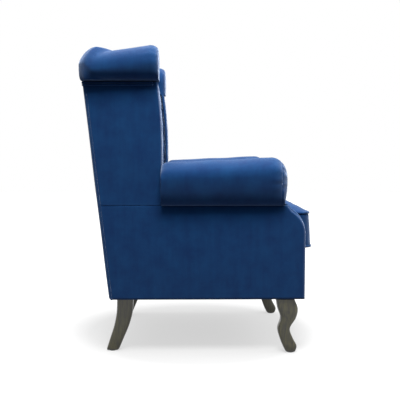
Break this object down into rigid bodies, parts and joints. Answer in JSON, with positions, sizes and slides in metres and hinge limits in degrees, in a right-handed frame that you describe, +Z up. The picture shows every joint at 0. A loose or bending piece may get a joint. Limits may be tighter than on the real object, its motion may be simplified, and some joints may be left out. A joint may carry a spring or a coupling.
{
  "type": "wing armchair",
  "caption": "Upholstered wing armchair with rolled arms, a rolled and buttoned back, a loose boxed seat cushion, S-shaped front legs and splayed rear legs.",
  "frame": {"origin": "on the floor, under the middle of the chair's outer box", "axes": "+Z up, the chair faces -Y, +X is the sitter's left"},
  "size_m": [0.77, 0.8054, 1.06],
  "materials": {
    "velvet": "dark blue short-pile velvet",
    "leg_wood": "dark grey-brown stain, satin",
    "frame_wood": "sawn beech and pine, unfinished",
    "webbing": "woven elastic webbing",
    "dust_cloth": "black spun-bonded cloth",
    "bolt_steel": "zinc plated",
    "glide_plastic": "moulded"
  },
  "bodies": {
    "chair": {"back_buttons": "velvet", "back_lower_rail": "frame_wood", "back_pad": "velvet", "back_roll": "velvet", "back_top_rail": "frame_wood", "back_webbing": "webbing", "dust_cover": "dust_cloth", "foot_glides": "glide_plastic", "front_border": "velvet", "front_seat_rail": "frame_wood", "left_arm_facing": "velvet", "left_arm_pad": "velvet", "left_arm_rail": "frame_wood", "left_arm_roll": "velvet", "left_arm_stump": "frame_wood", "left_back_post": "frame_wood", "left_front_facing": "velvet", "left_front_leg": "leg_wood", "left_rear_leg": "leg_wood", "left_seat_rail": "frame_wood", "left_side_panel": "velvet", "left_wing_buttons": "velvet", "left_wing_facing": "velvet", "left_wing_pad": "velvet", "left_wing_panel": "velvet", "left_wing_post": "frame_wood", "left_wing_rail": "frame_wood", "left_wing_roll": "velvet", "leg_bolts": "bolt_steel", "outside_back_panel": "velvet", "rear_seat_rail": "frame_wood", "right_arm_facing": "velvet", "right_arm_pad": "velvet", "right_arm_rail": "frame_wood", "right_arm_roll": "velvet", "right_arm_stump": "frame_wood", "right_back_post": "frame_wood", "right_front_facing": "velvet", "right_front_leg": "leg_wood", "right_rear_leg": "leg_wood", "right_seat_rail": "frame_wood", "right_side_panel": "velvet", "right_wing_buttons": "velvet", "right_wing_facing": "velvet", "right_wing_pad": "velvet", "right_wing_panel": "velvet", "right_wing_post": "frame_wood", "right_wing_rail": "frame_wood", "right_wing_roll": "velvet", "seat_corner_blocks": "frame_wood", "seat_platform": "velvet", "seat_webbing": "webbing"},
    "cushion": {"seat_cushion": "velvet"}
  },
  "joints": [
    {"name": "cushion_lift", "type": "slide", "parent": "chair", "child": "cushion", "axis": [0, 0, 1], "range_m": [0, 0.35]}
  ]
}
